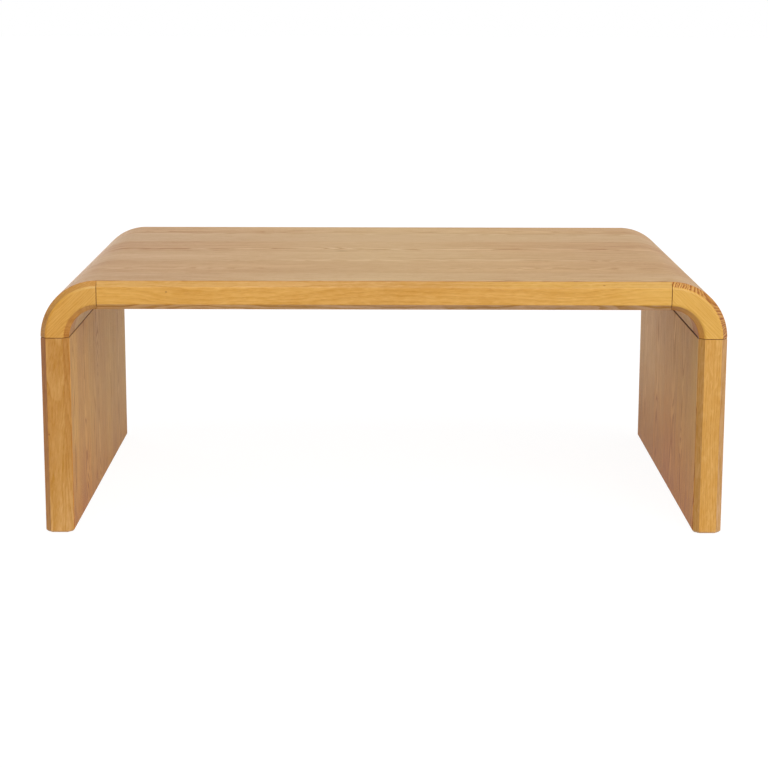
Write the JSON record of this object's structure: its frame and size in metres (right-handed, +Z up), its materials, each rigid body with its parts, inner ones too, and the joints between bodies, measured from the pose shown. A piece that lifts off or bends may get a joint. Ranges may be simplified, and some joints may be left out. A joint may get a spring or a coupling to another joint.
{
  "type": "coffee table",
  "caption": "Low rectangular table whose thick oak top curves down into two slab legs, with chamfered solid edges and open space underneath.",
  "frame": {"origin": "on the floor, under the middle of the table top", "axes": "+X along the table's length, to the right seen from the front; +Y to the back; +Z up"},
  "size_m": [1.2, 0.8, 0.452],
  "materials": {
    "oak_veneer": "clear satin lacquer on pale beige-brown oak veneer",
    "solid_oak": "clear satin lacquer on golden solid oak",
    "fibreboard": "raw medium-density fibreboard, inside",
    "frame_timber": "raw planed softwood, inside",
    "beech_dowel": "raw beech, inside",
    "zinc_steel": "zinc-plated steel, inside",
    "insert_metal": "yellow passivated threaded inserts, inside",
    "glide_plastic": "dark matt plastic"
  },
  "bodies": {
    "root": {"inner_veneer": "oak_veneer", "left_bend_dowels": "beech_dowel", "left_bend_front_lipping": "solid_oak", "left_bend_inserts": "insert_metal", "left_bend_rear_lipping": "solid_oak", "left_bend_staves": "frame_timber", "left_leg_bolts": "zinc_steel", "left_leg_dowels": "beech_dowel", "left_leg_foot_rail": "frame_timber", "left_leg_foot_strip": "solid_oak", "left_leg_front_lipping": "solid_oak", "left_leg_front_stile": "frame_timber", "left_leg_glides": "glide_plastic", "left_leg_head_rail": "frame_timber", "left_leg_inner_skin": "fibreboard", "left_leg_inner_veneer": "oak_veneer", "left_leg_middle_stiles": "frame_timber", "left_leg_outer_skin": "fibreboard", "left_leg_outer_veneer": "oak_veneer", "left_leg_rear_lipping": "solid_oak", "left_leg_rear_stile": "frame_timber", "left_leg_washers": "zinc_steel", "left_top_end_rail": "frame_timber", "outer_veneer": "oak_veneer", "right_bend_dowels": "beech_dowel", "right_bend_front_lipping": "solid_oak", "right_bend_inserts": "insert_metal", "right_bend_rear_lipping": "solid_oak", "right_bend_staves": "frame_timber", "right_leg_bolts": "zinc_steel", "right_leg_dowels": "beech_dowel", "right_leg_foot_rail": "frame_timber", "right_leg_foot_strip": "solid_oak", "right_leg_front_lipping": "solid_oak", "right_leg_front_stile": "frame_timber", "right_leg_glides": "glide_plastic", "right_leg_head_rail": "frame_timber", "right_leg_inner_skin": "fibreboard", "right_leg_inner_veneer": "oak_veneer", "right_leg_middle_stiles": "frame_timber", "right_leg_outer_skin": "fibreboard", "right_leg_outer_veneer": "oak_veneer", "right_leg_rear_lipping": "solid_oak", "right_leg_rear_stile": "frame_timber", "right_leg_washers": "zinc_steel", "right_top_end_rail": "frame_timber", "top_front_lipping": "solid_oak", "top_front_rail": "frame_timber", "top_lower_skin": "fibreboard", "top_rear_lipping": "solid_oak", "top_rear_rail": "frame_timber", "top_ribs": "frame_timber", "top_upper_skin": "fibreboard"}
  },
  "joints": []
}
